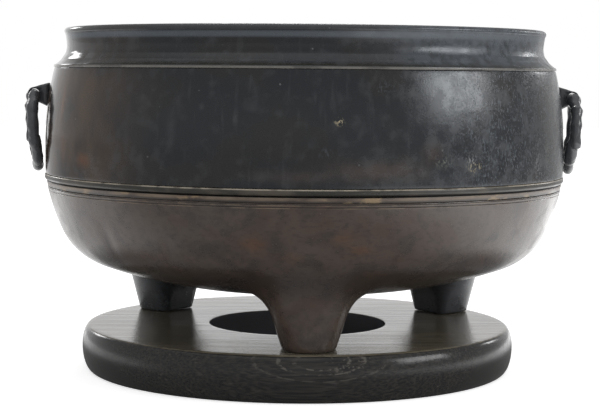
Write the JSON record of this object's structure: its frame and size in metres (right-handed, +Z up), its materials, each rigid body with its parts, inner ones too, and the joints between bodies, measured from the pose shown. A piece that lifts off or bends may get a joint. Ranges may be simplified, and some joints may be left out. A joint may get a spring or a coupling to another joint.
{
  "type": "tripod brazier",
  "caption": "Deep rounded brazier with a moulded waist, short D-section feet and swinging gnarled ring handles, on a thick round turned stand with an open middle.",
  "frame": {"origin": "on the vessel's axis, on the surface that the stand rests on", "axes": "+Z up, -Y towards the front foot, +X towards the right handle"},
  "size_m": [0.4402, 0.4008, 0.2623],
  "materials": {
    "bronze_black": "satin blue-black patina",
    "bronze_brown": "satin brown patina, rubbed in places",
    "bronze_rubbed": "patina rubbed through to the metal on the ridges",
    "wood_black": "polished ebonised wood"
  },
  "bodies": {
    "stand": {"stand": "wood_black"},
    "vessel": {"bowl": "bronze_brown", "waist_band": "bronze_rubbed", "drum": "bronze_black", "neck": "bronze_black", "foot_front": "bronze_brown", "foot_back_left": "bronze_brown", "foot_back_right": "bronze_brown", "lug_left": "bronze_black", "lug_right": "bronze_black"},
    "ring_left": {"ring_left": "bronze_black"},
    "ring_right": {"ring_right": "bronze_black"}
  },
  "joints": [
    {"name": "vessel_lift", "type": "slide", "parent": "stand", "child": "vessel", "axis": [0, 0, 1], "range_m": [0, 0.12]},
    {"name": "ring_left_swing", "type": "hinge", "parent": "vessel", "child": "ring_left", "pos_m": [-0.20944, 0, 0.21182], "axis": [-0.1392, 0.9903, 0], "range_deg": [-0.5, 196]},
    {"name": "ring_right_swing", "type": "hinge", "parent": "vessel", "child": "ring_right", "pos_m": [0.20944, 0, 0.21182], "axis": [-0.1392, -0.9903, 0], "range_deg": [-0.5, 196]}
  ]
}
